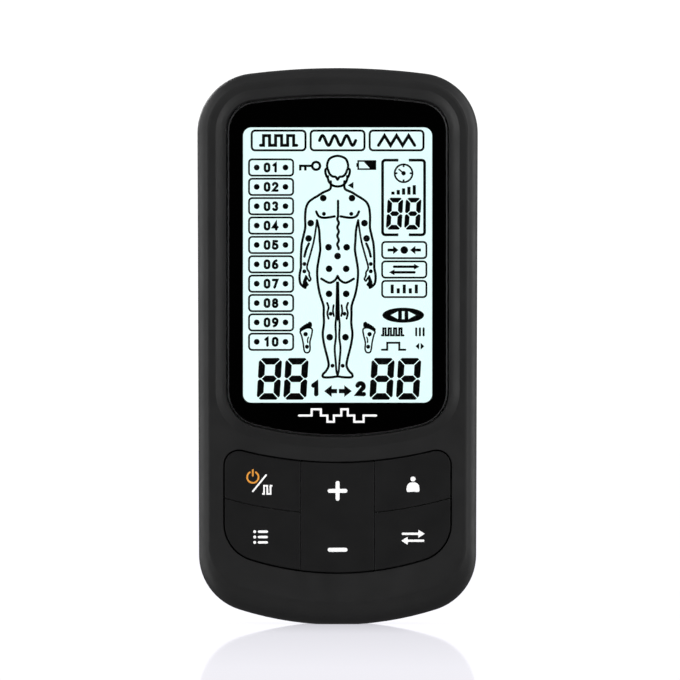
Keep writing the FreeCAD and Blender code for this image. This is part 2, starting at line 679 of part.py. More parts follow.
def battery_springs():
    """One compression spring at each cell's flat end."""
    plate_gap = CONTACT_THICK + SPRING_WIRE
    length = BAY_HIGH - BAY_LOW - 2 * CONTACT_THICK - CONTACT_DIMPLE - CELL_LENGTH
    springs = []
    for number, at_top in ((0, False), (1, True), (2, False)):
        height = length - 2 * SPRING_WIRE
        helix = Part.makeHelix(height / SPRING_TURNS, height, SPRING_RADIUS)
        edge = helix.Edges[0]
        ring = Part.makeCircle(SPRING_WIRE, edge.valueAt(edge.FirstParameter),
                               edge.tangentAt(edge.FirstParameter))
        coil = Part.Wire(helix.Edges).makePipeShell([Part.Wire([ring])], True, True)
        low = BAY_HIGH - plate_gap - height if at_top else BAY_LOW + plate_gap
        coil.translate(V(cell_x(number), CELL_Y, low))
        springs.append(coil)
    return springs


# ---------------------------------------------------------------- battery door
def battery_door():
    """Lid with a round hinge edge, two hinge tabs and a springy latch tongue."""
    seat_y = BACK_Y - DOOR_THICK
    radius = DOOR_THICK / 2
    panel = plate(-DOOR_HALF, DOOR_HALF, seat_y, BACK_Y, DOOR_LOW, DOOR_HIGH, DOOR_CORNER)
    corner = block(-DOOR_HALF, DOOR_HALF, seat_y, BACK_Y, DOOR_LOW, DOOR_HINGE_Z)
    panel = panel.cut(corner.cut(rod_x(radius, -DOOR_HALF, DOOR_HALF, DOOR_HINGE_Y, DOOR_HINGE_Z)))
    tongue = plate(-LATCH_HALF, LATCH_HALF, seat_y, BACK_Y, DOOR_HIGH - LATCH_SLIT,
                   DOOR_HIGH + LATCH_REACH, 1.0)
    for side in (-1, 1):
        x = side * (LATCH_HALF + 0.5)
        panel = panel.cut(block(x - 0.5, x + 0.5, seat_y - 1, BACK_Y + 1,
                                DOOR_HIGH - LATCH_SLIT, DOOR_HIGH + 1))
    door = panel.fuse(tongue)
    thumb_low = DOOR_HIGH - LATCH_SLIT + 1
    thumb = plate(-LATCH_HALF + 0.9, LATCH_HALF - 0.9, BACK_Y - THUMB_DEEP, BACK_Y + 1,
                  thumb_low, DOOR_HIGH + LATCH_REACH - 1, 0.8)
    door = door.cut(thumb)
    for row in range(THUMB_RIBS):
        rib_z = thumb_low + 1.2 + row * THUMB_PITCH
        door = door.fuse(rod_x(THUMB_DEEP, -LATCH_HALF + 0.8, LATCH_HALF - 0.8,
                               BACK_Y - THUMB_DEEP, rib_z))
    for x in (-HINGE_TAB_X, HINGE_TAB_X):
        door = door.fuse(block(x - HINGE_TAB_HALF, x + HINGE_TAB_HALF,
                               DOOR_HINGE_Y - radius * 1.5,
                               DOOR_HINGE_Y - radius * 1.5 + HINGE_TAB_THICK,
                               DOOR_LOW - HINGE_TAB_REACH, DOOR_HINGE_Z))
    hook_top = DOOR_HIGH + LATCH_REACH
    hook = block(-LATCH_HALF + 1, LATCH_HALF - 1, seat_y - LATCH_HOOK, seat_y,
                 hook_top - LATCH_HOOK_LENGTH, hook_top)
    return door.fuse(hook).removeSplitter()


# ---------------------------------------------------------------- output sockets
def output_socket(x):
    """Round socket with a wide well for the plug's boot and a narrow jack hole."""
    low = SOCKET_TOP - SOCKET_LENGTH
    well_low = SOCKET_TOP - SOCKET_WELL_DEPTH
    body = rod_z(SOCKET_RADIUS, x, SOCKET_Y, low, SOCKET_TOP)
    foot = block(x - SOCKET_RADIUS, x + SOCKET_RADIUS, PCB_BACK_Y, SOCKET_Y, low, low + SOCKET_FOOT)
    body = body.fuse(foot)
    body = body.cut(rod_z(SOCKET_WELL_RADIUS, x, SOCKET_Y, well_low, SOCKET_TOP + 1))
    return body.cut(rod_z(JACK_RADIUS, x, SOCKET_Y, well_low - JACK_DEPTH, well_low + 1))


def socket_pins():
    """Contact pin in the middle of each jack hole."""
    low = SOCKET_TOP - SOCKET_WELL_DEPTH - JACK_DEPTH
    return [rod_z(SOCKET_PIN_RADIUS, x, SOCKET_Y, low, low + JACK_DEPTH - 1)
            for x in (-SOCKET_X, SOCKET_X)]


# ---------------------------------------------------------------- assembly
def build():
    """Every sub-part by name; a list is a group of separate solids."""
    nodes = {
        "front_shell": front_shell(),
        "rear_shell": rear_shell(),
        "display_window": display_window(),
        "window_tape": window_tape(),
        "lcd_panel": lcd_panel(),
        "lcd_backlight": lcd_backlight(),
        "lcd_holder": lcd_holder(),
        "zebra_strip": zebra_strip(),
        "main_pcb": main_pcb(),
        "keypad_mat": keypad_mat(),
        "power_mode_key": corner_key(-1, True),
        "program_key": corner_key(-1, False),
        "body_key": corner_key(1, True),
        "channel_key": corner_key(1, False),
        "level_rocker": level_rocker(),
        "battery_door": battery_door(),
        "positive_contact": contact_plate(0, 0, True).fuse([dimple(0, True), tail(0, True)]),
        "negative_contact": contact_plate(2, 2, False).fuse(tail(2, False)),
        "bridge_contact_upper": contact_plate(1, 2, True).fuse(dimple(2, True)),
        "bridge_contact_lower": contact_plate(0, 1, False).fuse(dimple(1, False)),
        "battery_springs": battery_springs(),
        "case_screws": case_screws(),
        "pcb_screws": pcb_screws(),
        "socket_pins": socket_pins(),
        "capacitors": capacitors(),
        "mcu_chip": chip(9.0, 9.0, 1.4, 0.0, 86.0, 9),
        "driver_chips": [chip(4.0, 5.0, 1.5, side * 14.0, 74.0, 4) for side in (-1, 1)],
        "crystal": plate(-2.2, 2.2, PCB_BACK_Y, PCB_BACK_Y + 2.4, 74.0, 77.0, 1.0),
        "buzzer": rod_y(BUZZER_RADIUS, 0.0, BUZZER_Z, PCB_BACK_Y, PCB_BACK_Y + BUZZER_LENGTH),
        "smd_parts": smd_parts(),
    }
    for number in range(3):
        nodes["battery_%d" % (number + 1)] = cell(number)
    for label, x in (("a", -SOCKET_X), ("b", SOCKET_X)):
        nodes["output_socket_" + label] = output_socket(x)
    for label, x in (("a", -TRANSFORMER_X), ("b", TRANSFORMER_X)):
        nodes["transformer_core_" + label] = transformer_core(x)
        nodes["transformer_winding_" + label] = transformer_winding(x)
    for name, x, z, cap_y, clear in press_points():
        pill_y = PCB_FRONT_Y - clear - PILL_THICK
        nodes[name + "_plunger"] = rod_y(PLUNGER_RADIUS, x, z, cap_y, pill_y)
        nodes[name + "_pill"] = rod_y(PILL_RADIUS, x, z, pill_y, pill_y + PILL_THICK)
    return nodes


def main():
    os.makedirs("parts", exist_ok=True)
    for name, shape in build().items():
        solids = shape if isinstance(shape, list) else shape.Solids
        whole = Part.makeCompound(solids) if len(solids) > 1 else solids[0]
        whole.exportStep("parts/" + name + ".step")
        box = whole.BoundBox
        print("%-22s solids %2d valid %s volume %8.1f  x %6.2f %6.2f  y %6.2f %6.2f  z %6.2f %6.2f"
              % (name, len(solids), whole.isValid(), whole.Volume, box.XMin, box.XMax,
                 box.YMin, box.YMax, box.ZMin, box.ZMax))


main()
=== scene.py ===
import json
import math

import bmesh
import bpy
from mathutils import Matrix, Vector


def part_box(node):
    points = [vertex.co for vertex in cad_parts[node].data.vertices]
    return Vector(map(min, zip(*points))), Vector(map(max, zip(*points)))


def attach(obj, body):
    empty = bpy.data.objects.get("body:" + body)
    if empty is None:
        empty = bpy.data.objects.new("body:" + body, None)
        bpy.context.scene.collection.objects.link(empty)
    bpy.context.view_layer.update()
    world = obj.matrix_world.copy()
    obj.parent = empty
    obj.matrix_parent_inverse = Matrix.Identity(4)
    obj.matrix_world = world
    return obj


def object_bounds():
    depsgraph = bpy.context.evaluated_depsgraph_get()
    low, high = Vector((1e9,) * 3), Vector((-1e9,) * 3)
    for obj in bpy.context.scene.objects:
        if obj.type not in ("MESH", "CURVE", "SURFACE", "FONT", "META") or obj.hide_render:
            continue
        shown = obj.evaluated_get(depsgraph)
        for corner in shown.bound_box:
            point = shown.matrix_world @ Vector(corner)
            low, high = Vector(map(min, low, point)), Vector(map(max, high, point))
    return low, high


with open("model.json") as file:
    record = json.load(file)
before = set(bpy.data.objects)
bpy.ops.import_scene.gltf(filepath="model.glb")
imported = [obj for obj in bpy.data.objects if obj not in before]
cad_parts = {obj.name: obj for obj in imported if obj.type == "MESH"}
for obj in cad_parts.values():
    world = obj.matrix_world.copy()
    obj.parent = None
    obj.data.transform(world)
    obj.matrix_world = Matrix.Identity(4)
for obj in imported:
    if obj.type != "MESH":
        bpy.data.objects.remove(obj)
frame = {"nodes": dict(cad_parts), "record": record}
CAD_BOX = [list(corner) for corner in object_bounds()]
NODES = frame["nodes"]
SLOT_OF = {part["node"]: part["material_slot"] for part in frame["record"]["subparts"]}
MM = 0.001

FRONT_Y = CAD_BOX[0][1]
PANEL_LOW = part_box("lcd_panel")[0]
WINDOW_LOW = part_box("display_window")[0]
KEY_FRONT_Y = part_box("level_rocker")[0].y


# ---------------------------------------------------------------- node helpers
def empty_material(name):
    """A node material with only its output. Returns the material, its tree and the surface socket."""
    material = bpy.data.materials.new(name)
    material.use_nodes = True
    tree = material.node_tree
    tree.nodes.clear()
    output = tree.nodes.new("ShaderNodeOutputMaterial")
    return material, tree, output.inputs["Surface"]


def new_material(name):
    """A node material with one Principled shader. Returns the material, its tree and the shader."""
    material, tree, surface = empty_material(name)
    shader = tree.nodes.new("ShaderNodeBsdfPrincipled")
    tree.links.new(shader.outputs["BSDF"], surface)
    return material, tree, shader


def object_space(tree):
    """Coordinates in metres, the same on every piece."""
    return tree.nodes.new("ShaderNodeTexCoord").outputs["Object"]


def noise(tree, size, detail=3.0, roughness=0.5, stretch=None):
    """Noise whose features are about size metres across."""
    texture = tree.nodes.new("ShaderNodeTexNoise")
    texture.inputs["Scale"].default_value = 1.0 / size
    texture.inputs["Detail"].default_value = detail
    texture.inputs["Roughness"].default_value = roughness
    coordinates = object_space(tree)
    if stretch is not None:
        mapping = tree.nodes.new("ShaderNodeMapping")
        mapping.inputs["Scale"].default_value = stretch
        tree.links.new(coordinates, mapping.inputs["Vector"])
        coordinates = mapping.outputs["Vector"]
    tree.links.new(coordinates, texture.inputs["Vector"])
    return texture.outputs["Fac"]


def ramp(tree, factor, stops):
    """A colour ramp with (position, colour) stops."""
    node = tree.nodes.new("ShaderNodeValToRGB")
    elements = node.color_ramp.elements
    while len(elements) < len(stops):
        elements.new(0.5)
    for element, (position, colour) in zip(elements, stops):
        element.position = position
        element.color = (*colour, 1.0)
    tree.links.new(factor, node.inputs["Fac"])
    return node.outputs["Color"]


def spread(tree, factor, low, high, start=0.3, end=0.7):
    """The factor, from start to end, mapped to low ... high."""
    node = tree.nodes.new("ShaderNodeMapRange")
    node.inputs["From Min"].default_value = start
    node.inputs["From Max"].default_value = end
    node.inputs["To Min"].default_value = low
    node.inputs["To Max"].default_value = high
    tree.links.new(factor, node.inputs["Value"])
    return node.outputs["Result"]


def calculate(tree, operation, first, second=None):
    """The result of one sum on one or two values."""
    node = tree.nodes.new("ShaderNodeMath")
    node.operation = operation
    tree.links.new(first, node.inputs[0])
    if second is not None:
        tree.links.new(second, node.inputs[1])
    return node.outputs["Value"]


def coordinate(tree, vector, axis):
    """One axis of a vector."""
    split = tree.nodes.new("ShaderNodeSeparateXYZ")
    tree.links.new(vector, split.inputs["Vector"])
    return split.outputs[axis]


def emission(tree, colour, strength):
    """Plain light of one colour."""
    node = tree.nodes.new("ShaderNodeEmission")
    node.inputs["Color"].default_value = (*colour, 1)
    node.inputs["Strength"].default_value = strength
    return node.outputs["Emission"]


def mix_shaders(tree, factor, first, second):
    """Two shaders mixed by a factor."""
    mix = tree.nodes.new("ShaderNodeMixShader")
    tree.links.new(factor, mix.inputs["Fac"])
    tree.links.new(first, mix.inputs[1])
    tree.links.new(second, mix.inputs[2])
    return mix.outputs["Shader"]


def add_bump(tree, shader, height, depth):
    """Bump from a 0 ... 1 height field that is depth metres tall."""
    node = tree.nodes.new("ShaderNodeBump")
    node.inputs["Strength"].default_value = 1.0
    node.inputs["Distance"].default_value = depth
    tree.links.new(height, node.inputs["Height"])
    tree.links.new(node.outputs["Normal"], shader.inputs["Normal"])


def shade(colour, factor):
    """The colour made lighter or darker."""
    return tuple(min(1.0, channel * factor) for channel in colour)


def vary_colour(tree, shader, factor, colour, darker, lighter):
    """Base colour that wanders between two shades of the colour."""
    tint = ramp(tree, factor, [(0.3, shade(colour, darker)), (0.7, shade(colour, lighter))])
    tree.links.new(tint, shader.inputs["Base Color"])


def vary_gloss(tree, shader, size, low, high, detail=3.0):
    """Roughness that wanders from low to high in patches about size metres across."""
    tree.links.new(spread(tree, noise(tree, size, detail), low, high), shader.inputs["Roughness"])


# ---------------------------------------------------------------- materials
def moulded(name, colour, rough, grain, grain_depth, mottle=0.12, specular=0.5):
    """Moulded or coated plastic: spark-eroded grain, faint mottling, uneven gloss."""
    material, tree, shader = new_material(name)
    shader.inputs["Specular IOR Level"].default_value = specular
    vary_colour(tree, shader, noise(tree, 9 * MM, 4.0), colour, 1 - mottle, 1 + mottle)
    vary_gloss(tree, shader, 4 * MM, rough - 0.04, rough + 0.05, 5.0)
    add_bump(tree, shader, noise(tree, grain, 2.0, 0.6), grain_depth)
    return material


def metal(name, colour, rough, brushed=(1, 1, 1)):
    """Plated or drawn metal with fine streaks and dull patches."""
    material, tree, shader = new_material(name)
    shader.inputs["Metallic"].default_value = 1.0
    streaks = noise(tree, 0.6 * MM, 3.0, 0.6, brushed)
    vary_colour(tree, shader, streaks, colour, 0.82, 1.1)
    vary_gloss(tree, shader, 1.5 * MM, rough - 0.05, rough + 0.08)
    add_bump(tree, shader, streaks, 0.004 * MM)
    return material


def silicone(name, colour):
    """Milky rubber with a dusty surface."""
    material, tree, shader = new_material(name)
    shader.inputs["Subsurface Weight"].default_value = 0.15
    shader.inputs["Subsurface Radius"].default_value = (1.2 * MM, 1.0 * MM, 0.9 * MM)
    shader.inputs["Sheen Weight"].default_value = 0.15
    vary_colour(tree, shader, noise(tree, 2 * MM), colour, 0.9, 1.08)
    vary_gloss(tree, shader, 1 * MM, 0.5, 0.68)
    add_bump(tree, shader, noise(tree, 0.15 * MM), 0.006 * MM)
    return material


def window_glass():
    """Clear acrylic with the faintest waviness: polished front and back, ground edges."""
    material, tree, shader = new_material("clear_acrylic")
    shader.inputs["Base Color"].default_value = (0.97, 0.99, 0.99, 1)
    shader.inputs["Transmission Weight"].default_value = 1.0
    shader.inputs["IOR"].default_value = 1.49
    normal = tree.nodes.new("ShaderNodeTexCoord").outputs["Normal"]
    squareness = calculate(tree, "ABSOLUTE", coordinate(tree, normal, "Y"))
    edge, face = 0.95, 0.99
    gloss = spread(tree, squareness, 0.05, 0.5, edge, face)
    tree.links.new(gloss, shader.inputs["Specular IOR Level"])
    ground = spread(tree, squareness, 0.55, 0.0, edge, face)
    wear = spread(tree, noise(tree, 12 * MM), 0.0, 0.02)
    tree.links.new(calculate(tree, "ADD", ground, wear), shader.inputs["Roughness"])
    add_bump(tree, shader, noise(tree, 25 * MM, 1.0), 0.002 * MM)
    return material


def lit_display():
    """Backlit liquid-crystal glass: pale cyan light, a little uneven."""
    material, tree, shader = new_material("lit_display")
    shader.inputs["Roughness"].default_value = 0.35
    shader.inputs["Emission Strength"].default_value = 1.08
    shader.inputs["Base Color"].default_value = (0.05, 0.06, 0.06, 1)
    glow = noise(tree, 30 * MM, 2.0)
    tint = ramp(tree, glow, [(0.25, (0.76, 0.97, 0.965)), (0.75, (0.82, 1.0, 0.98))])
    tree.links.new(tint, shader.inputs["Emission Color"])
    return material


def circuit_board():
    """Green solder mask with traces under it."""
    material, tree, shader = new_material("circuit_board")
    shader.inputs["Coat Weight"].default_value = 0.3
    bricks = tree.nodes.new("ShaderNodeTexBrick")
    bricks.inputs["Scale"].default_value = 1.0 / (6 * MM)
    bricks.inputs["Mortar Size"].default_value = 0.06
    bricks.inputs["Color1"].default_value = (0.01, 0.09, 0.03, 1)
    bricks.inputs["Color2"].default_value = (0.012, 0.12, 0.04, 1)
    bricks.inputs["Mortar"].default_value = (0.03, 0.2, 0.08, 1)
    swap = tree.nodes.new("ShaderNodeMapping")
    swap.inputs["Rotation"].default_value = (math.pi / 2, 0, 0)
    tree.links.new(object_space(tree), swap.inputs["Vector"])
    tree.links.new(swap.outputs["Vector"], bricks.inputs["Vector"])
    tree.links.new(bricks.outputs["Color"], shader.inputs["Base Color"])
    vary_gloss(tree, shader, 1 * MM, 0.25, 0.4)
    add_bump(tree, shader, bricks.outputs["Fac"], 0.02 * MM)
    return material


def cell_sleeve():
    """Battery sleeve: a dark body with a copper-coloured upper end."""
    material, tree, shader = new_material("cell_sleeve")
    shader.inputs["Metallic"].default_value = 0.55
    low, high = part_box("battery_1")
    height = spread(tree, coordinate(tree, object_space(tree), "Z"), 0.0, 1.0, low.z, high.z)
    body = (0.03, 0.035, 0.045)
    band = (0.55, 0.27, 0.10)
    tint = ramp(tree, height, [(0.0, body), (0.70, body), (0.705, band), (0.96, band)])
    tree.links.new(tint, shader.inputs["Base Color"])
    vary_gloss(tree, shader, 3 * MM, 0.22, 0.34)
    add_bump(tree, shader, noise(tree, 2 * MM), 0.01 * MM)
    return material


def printed(name, colour, rough=0.5, specular=0.4, glow=0.0):
    """Screen-printed ink, or a display segment: faint unevenness in colour and film; glow is painted light
    that makes the ink shine by itself.
    """
    material, tree, shader = new_material(name)
    shader.inputs["Specular IOR Level"].default_value = specular
    shader.inputs["Emission Color"].default_value = (*colour, 1)
    shader.inputs["Emission Strength"].default_value = glow
    vary_colour(tree, shader, noise(tree, 0.5 * MM), colour, 0.94, 1.04)
    vary_gloss(tree, shader, 0.3 * MM, rough - 0.05, rough + 0.05)
    add_bump(tree, shader, noise(tree, 0.12 * MM), 0.002 * MM)
    return material


MATERIALS = {
    "casing": moulded("casing_coating", (0.0132, 0.0132, 0.0135), 0.5, 0.22 * MM, 0.012 * MM, 0.12, 0.32),
    "key_cap": moulded("key_moulding", (0.0084, 0.0084, 0.0087), 0.52, 0.16 * MM, 0.006 * MM, 0.1, 0.2),
    "clear_window": window_glass(),
    "black_mask": moulded("mask_print", (0.0012, 0.0012, 0.0013), 0.6, 0.3 * MM, 0.002 * MM),
    "lcd_glass": lit_display(),
    "light_guide": moulded("light_guide", (0.8, 0.84, 0.84), 0.3, 0.5 * MM, 0.002 * MM, 0.03),
    "white_frame": moulded("white_frame", (0.72, 0.72, 0.7), 0.45, 0.25 * MM, 0.008 * MM, 0.05),
    "grey_silicone": silicone("grey_silicone", (0.3, 0.31, 0.32)),
    "carbon_pill": silicone("carbon_rubber", (0.015, 0.015, 0.015)),
    "circuit_board": circuit_board(),
    "spring_steel": metal("spring_steel", (0.6, 0.59, 0.56), 0.28, (1, 1, 0.15)),
    "screw_steel": metal("screw_steel", (0.32, 0.32, 0.33), 0.34),
    "contact_brass": metal("contact_brass", (0.72, 0.5, 0.2), 0.25),
    "can_aluminium": metal("can_aluminium", (0.72, 0.72, 0.74), 0.3, (1, 0.1, 1)),
    "chip_plastic": moulded("chip_compound", (0.02, 0.02, 0.022), 0.55, 0.12 * MM, 0.008 * MM),
    "smd_ceramic": moulded("chip_ceramic", (0.4, 0.3, 0.18), 0.5, 0.2 * MM, 0.004 * MM),
    "cell_sleeve": cell_sleeve(),
    "socket_plastic": moulded("socket_moulding", (0.012, 0.012, 0.013), 0.3, 0.2 * MM, 0.004 * MM),
    "ferrite": moulded("ferrite", (0.03, 0.03, 0.032), 0.6, 0.3 * MM, 0.02 * MM, 0.25),
    "winding_tape": moulded("winding_tape", (0.62, 0.4, 0.03), 0.35, 0.8 * MM, 0.03 * MM, 0.1),
}
# The white and orange inks glow: painted light that makes the print look brightly lit.
INK_WHITE_PAINTED_GLOW = printed("white_ink_painted_glow", (0.95, 0.95, 0.95), glow=0.3)
INK_ORANGE_PAINTED_GLOW = printed("orange_ink_painted_glow", (0.8, 0.33, 0.046), glow=0.22)
INK_SEGMENT = printed("dark_segment", (0.0012, 0.0014, 0.0014), 0.6, 0.05)


def dress_cad_nodes():
    """Every carried-over CAD node gets the material of its slot."""
    for name, node in NODES.items():
        node.data.materials.clear()
        node.data.materials.append(MATERIALS[SLOT_OF[name]])


# ---------------------------------------------------------------- flat drawings
TINY = 1e-9                                           # shorter than this counts as nothing
MITRE_LIMIT = 0.5                                     # keeps a sharp corner of a stroke short
DIGIT_WIDTH = 0.56                                    # of a pen digit that is one high


def circle_points(x, z, radius, sides=40, squash=1.0):
    """Points round a circle or an ellipse."""
    turns = [2 * math.pi * side / sides for side in range(sides)]
    return [(x + radius * math.cos(turn), z + radius * squash * math.sin(turn)) for turn in turns]


def arc_points(x, z, radius, start, end, sides):
    """Points along an arc, angles in degrees, anticlockwise from +X."""
    angles = [math.radians(start + (end - start) * step / sides) for step in range(sides + 1)]
    return [(x + radius * math.cos(angle), z + radius * math.sin(angle)) for angle in angles]


def smooth(points, closed=False, steps=8):
    """A Catmull-Rom curve through the points."""
    count = len(points)
    spans = count if closed else count - 1
    curve = []
    for span in range(spans):
        around = [points[(span + k) % count] if closed else points[min(max(span + k, 0), count - 1)]
                  for k in (-1, 0, 1, 2)]
        for step in range(steps):
            t = step / steps
            curve.append(tuple(
                0.5 * (2 * b + (c - a) * t + (2 * a - 5 * b + 4 * c - d) * t ** 2
                       + (3 * b - a - 3 * c + d) * t ** 3)
                for a, b, c, d in zip(*around)))
    if not closed:
        curve.append(points[-1])
    return curve


def mirror(points):
    """The points with X turned round."""
    return [(-x, z) for x, z in points]


def pointer(tip_x, base_x, z, half_height):
    """A triangle that points along X."""
    return [(tip_x, z), (base_x, z + half_height), (base_x, z - half_height)]


def rectangle(x0, x1, z0, z1):
    """The corners of an upright box."""
    return [(x0, z0), (x1, z0), (x1, z1), (x0, z1)]


def square_wave(start, base, rise, pitch, turn_on, turn_off, count):
    """A row of square pulses, each measured from the start of its own pitch."""
    wave = []
    for pulse in range(count):
        x = start + pulse * pitch
        wave += [(x, base), (x + turn_on, base), (x + turn_on, base + rise),
                 (x + turn_off, base + rise), (x + turn_off, base)]
    return wave


def digit_lines():
    """Each digit as pen lines in a box one high: (points, whether the line closes)."""
    bowl = circle_points(0.28, 0.28, 0.28, 24)
    stem = smooth([(0.0, 0.3), (0.04, 0.58), (0.2, 0.86), (0.44, 1.0)], steps=4)
    zero = arc_points(0.28, 0.72, 0.28, 0, 180, 10) + arc_points(0.28, 0.28, 0.28, 180, 360, 10)
    three = arc_points(0.27, 0.75, 0.25, 150, -90, 12) + arc_points(0.27, 0.25, 0.25, 90, -150, 12)
    five = [(0.52, 1.0), (0.1, 1.0), (0.06, 0.54)] + arc_points(0.27, 0.31, 0.3, 120, -150, 14)
    return {
        "0": [(zero, True)],
        "1": [([(0.08, 0.8), (0.34, 1.0), (0.34, 0.0)], False)],
        "2": [(arc_points(0.28, 0.72, 0.28, 165, -35, 12) + [(0.02, 0.0), (0.58, 0.0)], False)],
        "3": [(three, False)],
        "4": [([(0.58, 0.28), (0.0, 0.28), (0.42, 1.0), (0.42, 0.0)], False)],
        "5": [(five, False)],
        "6": [(bowl, True), (stem, False)],
        "7": [([(0.0, 1.0), (0.56, 1.0), (0.2, 0.0)], False)],
        "8": [(circle_points(0.28, 0.75, 0.24, 24), True), (circle_points(0.28, 0.26, 0.27, 24), True)],
        "9": [([(DIGIT_WIDTH - x, 1 - z) for x, z in bowl], True),
              ([(DIGIT_WIDTH - x, 1 - z) for x, z in stem], False)],
    }


DIGIT_LINES = digit_lines()


class Drawing:
    """Flat shapes in millimetres, X to the right and Z up, made into one thin closed piece."""

    def __init__(self, x, z):
        self.mesh = bmesh.new()
        self.origin = (x, z)

    def polygon(self, points):
        """A filled outline."""
        x0, z0 = self.origin
        corners = [self.mesh.verts.new(((x0 + x) * MM, 0, (z0 + z) * MM)) for x, z in points]
        self.mesh.faces.new(corners)

    def disc(self, x, z, radius, squash=1.0):
        """A filled circle or ellipse."""
        self.polygon(circle_points(x, z, radius, squash=squash))

    def stroke(self, points, width, closed=False, round_ends=True):
        """A line of constant width along the points."""
        count = len(points)
        sides = []
        headings = []
        for index, (x, z) in enumerate(points):
            before = points[(index - 1) % count] if closed or index > 0 else (x, z)
            after = points[(index + 1) % count] if closed or index < count - 1 else (x, z)
            arriving = Vector((x - before[0], z - before[1]))
            leaving = Vector((after[0] - x, after[1] - z))
            arriving = (arriving if arriving.length > TINY else leaving).normalized()
            leaving = (leaving if leaving.length > TINY else arriving).normalized()
            along = (arriving + leaving).normalized()
            across = Vector((-along.y, along.x)) * (width / 2 / max(MITRE_LIMIT, along.dot(leaving)))
            sides.append(((x + across.x, z + across.y), (x - across.x, z - across.y)))
            headings.append(math.degrees(math.atan2(along.y, along.x)))
        pairs = list(zip(sides, sides[1:] + sides[:1]))
        for (left, right), (next_left, next_right) in pairs if closed else pairs[:-1]:
            self.polygon([left, right, next_right, next_left])
        if round_ends and not closed:
            for (x, z), (left, right), turn in ((points[0], sides[0], headings[0] + 180),
                                                (points[-1], sides[-1], headings[-1])):
                bow = arc_points(x, z, width / 2, turn - 90, turn + 90, 8)[1:-1]
                self.polygon([right, *bow, left] if turn == headings[-1] else [left, *bow, right])

    def frame(self, x0, x1, z0, z1, corner, width):
        """A rounded rectangle drawn as a line."""
        points = []
        for x, z, start in ((x1 - corner, z1 - corner, 0), (x0 + corner, z1 - corner, 90),
                            (x0 + corner, z0 + corner, 180), (x1 - corner, z0 + corner, 270)):
            points += arc_points(x, z, corner, start, start + 90, 6)
        self.stroke(points, width, closed=True)

    def number(self, text, x, z, height, weight):
        """Digits drawn with a round pen, centred on x, z."""
        scale = height - weight
        digit_width = DIGIT_WIDTH * scale
        spacing = 0.14 * height
        step = digit_width + weight + spacing
        start = x - (step * (len(text) - 1) + digit_width) / 2
        for place, digit in enumerate(text):
            for points, closed in DIGIT_LINES[digit]:
                line = [(start + place * step + px * scale, z + (pz - 0.5) * scale) for px, pz in points]
                self.stroke(line, weight, closed)

    def cut_out(self, outline, holes):
        """A filled outline with holes in it."""
        curve = bpy.data.curves.new("cut_out", "CURVE")
        curve.dimensions = "2D"
        curve.fill_mode = "BOTH"
        x0, z0 = self.origin
        for points in [outline, *holes]:
            spline = curve.splines.new("POLY")
            spline.points.add(len(points) - 1)
            spline.use_cyclic_u = True
            for place, (x, z) in zip(spline.points, points):
                place.co = ((x0 + x) * MM, (z0 + z) * MM, 0, 1)
        holder = bpy.data.objects.new("cut_out", curve)
        flat = bpy.data.meshes.new_from_object(holder)
        flat.transform(Matrix.Rotation(math.pi / 2, 4, "X"))
        self.mesh.from_mesh(flat)
        bpy.data.objects.remove(holder)
        bpy.data.meshes.remove(flat)

    def piece(self, name, front_y, thickness, material, body, slot):
        """Gives the drawing its thickness and makes it ride on a body."""
        mesh = self.mesh
        bmesh.ops.remove_doubles(mesh, verts=mesh.verts, dist=TINY)
        faces = list(mesh.faces)
        for face in faces:
            face.normal_update()
        turned = [face for face in faces if face.normal.y > 0]
        bmesh.ops.reverse_faces(mesh, faces=turned)
        for vertex in mesh.verts:
            vertex.co.y = front_y
        grown = bmesh.ops.extrude_face_region(mesh, geom=faces, use_keep_orig=True)
        for item in grown["geom"]:
            if isinstance(item, bmesh.types.BMVert):
                item.co.y = front_y + thickness
        bmesh.ops.recalc_face_normals(mesh, faces=mesh.faces)
        data = bpy.data.meshes.new(name)
        mesh.to_mesh(data)
        mesh.free()
        data.materials.append(material)
        piece = bpy.data.objects.new(name, data)
        bpy.context.scene.collection.objects.link(piece)
        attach(piece, body)


# ---------------------------------------------------------------- display graphics
VIEW_MARGIN = 1.5                                     # from the glass edge to the lit area, mm
SCREEN_Z = PANEL_LOW.z / MM + VIEW_MARGIN             # lower edge of the lit area
SEGMENT_THICK = 0.015 * MM
SEGMENT_Y = PANEL_LOW.y - 0.03 * MM
BOX_LINE = 0.41
BOX_CORNER = 0.7
PEN = 0.56                                            # weight of the numbers in the boxes
FIGURE_LINE = 0.53
DIGIT_SLANT = 0.06                                    # lean of the large digits to the right


def screen_drawing():
    """A drawing measured from the middle of the lit area's lower edge."""
    return Drawing(0.0, SCREEN_Z)


def show(drawing, name):
    """Puts a display drawing just in front of the glass."""
    drawing.piece(name, SEGMENT_Y, SEGMENT_THICK, INK_SEGMENT, "housing", "display_segment")


def seven_segment(drawing, x, z, width, height, thick, gap):
    """A figure eight of seven segments, leaning to the right."""
    half = height / 2
    nick = thick * 0.23
    tip = gap + nick
    foot = gap + 2 * nick
    left = [(0, foot), (nick, tip), (thick, gap + thick), (thick, half - thick / 2 - gap),
            (thick / 2, half - gap), (nick, half - gap), (0, half - gap - nick)]
    lower = [
        [(tip, nick), (foot, 0), (width - foot, 0), (width - tip, nick), (width - gap - thick, thick),
         (gap + thick, thick)],
        left,
        [(width - px, pz) for px, pz in left],
    ]
    upper = [[(px, height - pz) for px, pz in segment] for segment in lower]
    inner = thick / 2 + gap
    middle = [(inner, half), (inner + thick / 2, half + thick / 2),
              (width - inner - thick / 2, half + thick / 2), (width - inner, half),
              (width - inner - thick / 2, half - thick / 2), (inner + thick / 2, half - thick / 2)]
    for segment in lower + upper + [middle]:
        drawing.polygon([(x + px + DIGIT_SLANT * pz, z + pz) for px, pz in segment])


